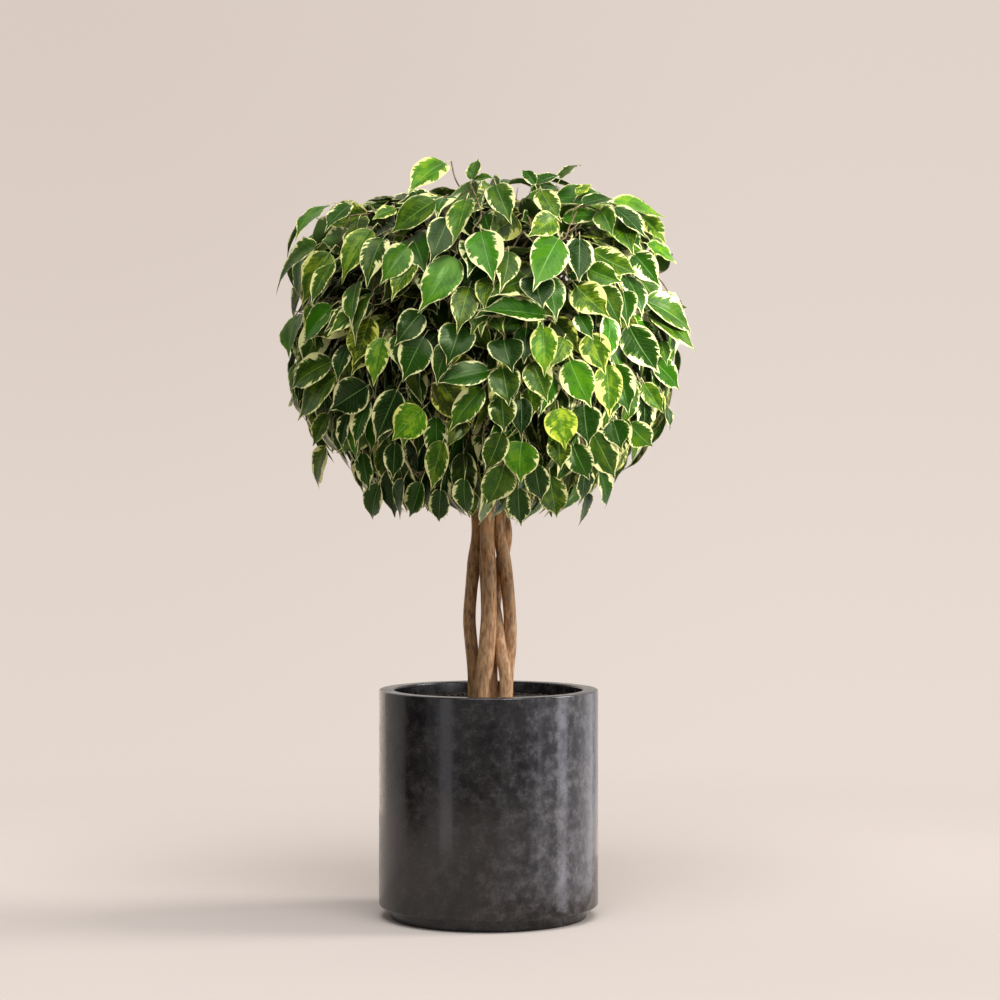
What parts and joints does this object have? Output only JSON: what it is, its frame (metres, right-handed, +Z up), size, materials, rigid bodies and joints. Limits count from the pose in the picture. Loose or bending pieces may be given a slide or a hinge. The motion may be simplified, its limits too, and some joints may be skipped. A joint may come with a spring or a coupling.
{
  "type": "potted ficus",
  "caption": "Variegated weeping fig clipped to a ball crown on a braided trunk, in a plain round dark concrete planter with a recessed foot.",
  "frame": {"origin": "middle of the underside of the planter's foot, on the floor", "axes": "+Z up along the planter's axis, -Y towards the viewer of the picture, +X to the viewer's right"},
  "size_m": [0.5011, 0.5037, 0.9006],
  "materials": {
    "pot_concrete": "satin",
    "potting_mix": "matte",
    "bark": "matte",
    "foliage": "satin"
  },
  "bodies": {
    "root": {"pot": "pot_concrete", "soil": "potting_mix", "stem_left": "bark", "stem_front": "bark", "stem_right": "bark", "stem_crossing": "bark", "stem_back": "bark", "spray_01": "foliage", "spray_02": "foliage", "spray_03": "foliage", "spray_04": "foliage", "spray_05": "foliage", "spray_06": "foliage", "spray_07": "foliage", "spray_08": "foliage", "spray_09": "foliage", "spray_10": "foliage", "spray_11": "foliage", "spray_12": "foliage", "spray_13": "foliage", "spray_14": "foliage", "spray_15": "foliage", "spray_16": "foliage", "spray_17": "foliage", "spray_18": "foliage", "spray_19": "foliage", "spray_20": "foliage", "spray_21": "foliage", "spray_22": "foliage", "spray_23": "foliage", "spray_24": "foliage", "spray_25": "foliage", "spray_26": "foliage", "spray_27": "foliage", "spray_28": "foliage", "spray_29": "foliage", "spray_30": "foliage", "spray_31": "foliage", "spray_32": "foliage", "spray_33": "foliage", "spray_34": "foliage", "spray_35": "foliage", "spray_36": "foliage", "spray_37": "foliage", "spray_38": "foliage", "spray_39": "foliage", "spray_40": "foliage", "spray_41": "foliage", "spray_42": "foliage", "spray_43": "foliage", "spray_44": "foliage", "spray_45": "foliage", "spray_46": "foliage", "spray_47": "foliage", "spray_48": "foliage", "spray_49": "foliage", "spray_50": "foliage"}
  },
  "joints": []
}
